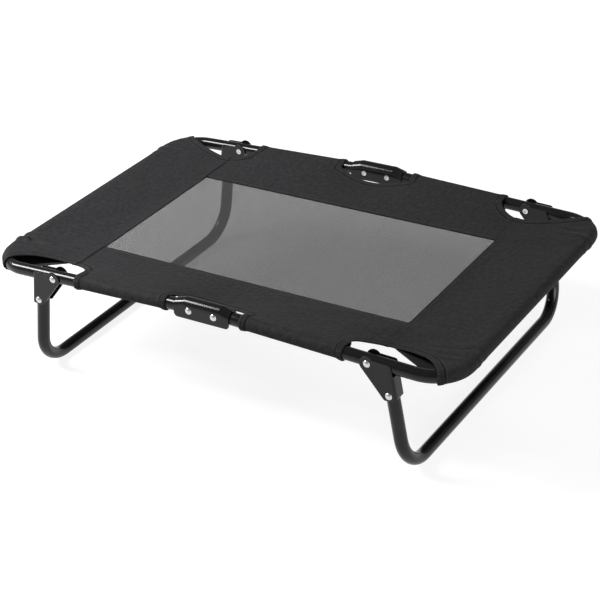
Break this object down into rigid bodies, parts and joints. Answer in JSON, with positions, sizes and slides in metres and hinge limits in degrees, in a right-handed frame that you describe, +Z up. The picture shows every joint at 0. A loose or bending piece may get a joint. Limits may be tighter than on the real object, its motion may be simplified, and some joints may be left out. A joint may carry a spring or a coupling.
{
  "type": "raised dog cot",
  "caption": "Low folding dog cot: bent steel tube frame hinged across the middle, U-shaped folding legs, and a stretched fabric cover with a mesh centre.",
  "frame": {"origin": "on the floor, under the middle of the cot", "axes": "+X along the cot, +Y across it, +Z up"},
  "size_m": [0.9066, 0.6146, 0.2278],
  "materials": {
    "black_paint": "gloss",
    "zinc_rivet": "satin",
    "black_oxford": "woven",
    "grey_mesh": "open weave"
  },
  "bodies": {
    "hinge": {"front_hinge_bracket": "black_paint", "rear_hinge_bracket": "black_paint", "front_hinge_rivets": "zinc_rivet", "rear_hinge_rivets": "zinc_rivet", "mesh_fold_band": "grey_mesh", "front_fold_band": "black_oxford", "rear_fold_band": "black_oxford"},
    "left_half": {"left_frame_tube": "black_paint", "left_end_panel": "black_oxford", "front_left_side_strip": "black_oxford", "rear_left_side_strip": "black_oxford", "left_mesh_panel": "grey_mesh"},
    "right_half": {"right_frame_tube": "black_paint", "right_end_panel": "black_oxford", "front_right_side_strip": "black_oxford", "rear_right_side_strip": "black_oxford", "right_mesh_panel": "grey_mesh"},
    "left_leg": {"left_leg_tube": "black_paint", "front_left_leg_bracket": "black_paint", "rear_left_leg_bracket": "black_paint", "left_pivot_rivets": "zinc_rivet", "left_leg_fixing_rivets": "zinc_rivet"},
    "right_leg": {"right_leg_tube": "black_paint", "front_right_leg_bracket": "black_paint", "rear_right_leg_bracket": "black_paint", "right_pivot_rivets": "zinc_rivet", "right_leg_fixing_rivets": "zinc_rivet"}
  },
  "joints": [
    {"name": "left_half_fold", "type": "hinge", "parent": "hinge", "child": "left_half", "pos_m": [-0.024, 0, 0.21], "axis": [0, -1, 0], "range_deg": [0, 60], "deforming": ["mesh_fold_band", "front_fold_band", "rear_fold_band"]},
    {"name": "right_half_fold", "type": "hinge", "parent": "hinge", "child": "right_half", "pos_m": [0.024, 0, 0.21], "axis": [0, 1, 0], "range_deg": [0, 60], "deforming": ["mesh_fold_band", "front_fold_band", "rear_fold_band"]},
    {"name": "left_leg_fold", "type": "hinge", "parent": "left_half", "child": "left_leg", "pos_m": [-0.30384, 0, 0.20047], "axis": [0, -1, 0], "range_deg": [0, 100]},
    {"name": "right_leg_fold", "type": "hinge", "parent": "right_half", "child": "right_leg", "pos_m": [0.30384, 0, 0.20047], "axis": [0, 1, 0], "range_deg": [0, 100]}
  ]
}
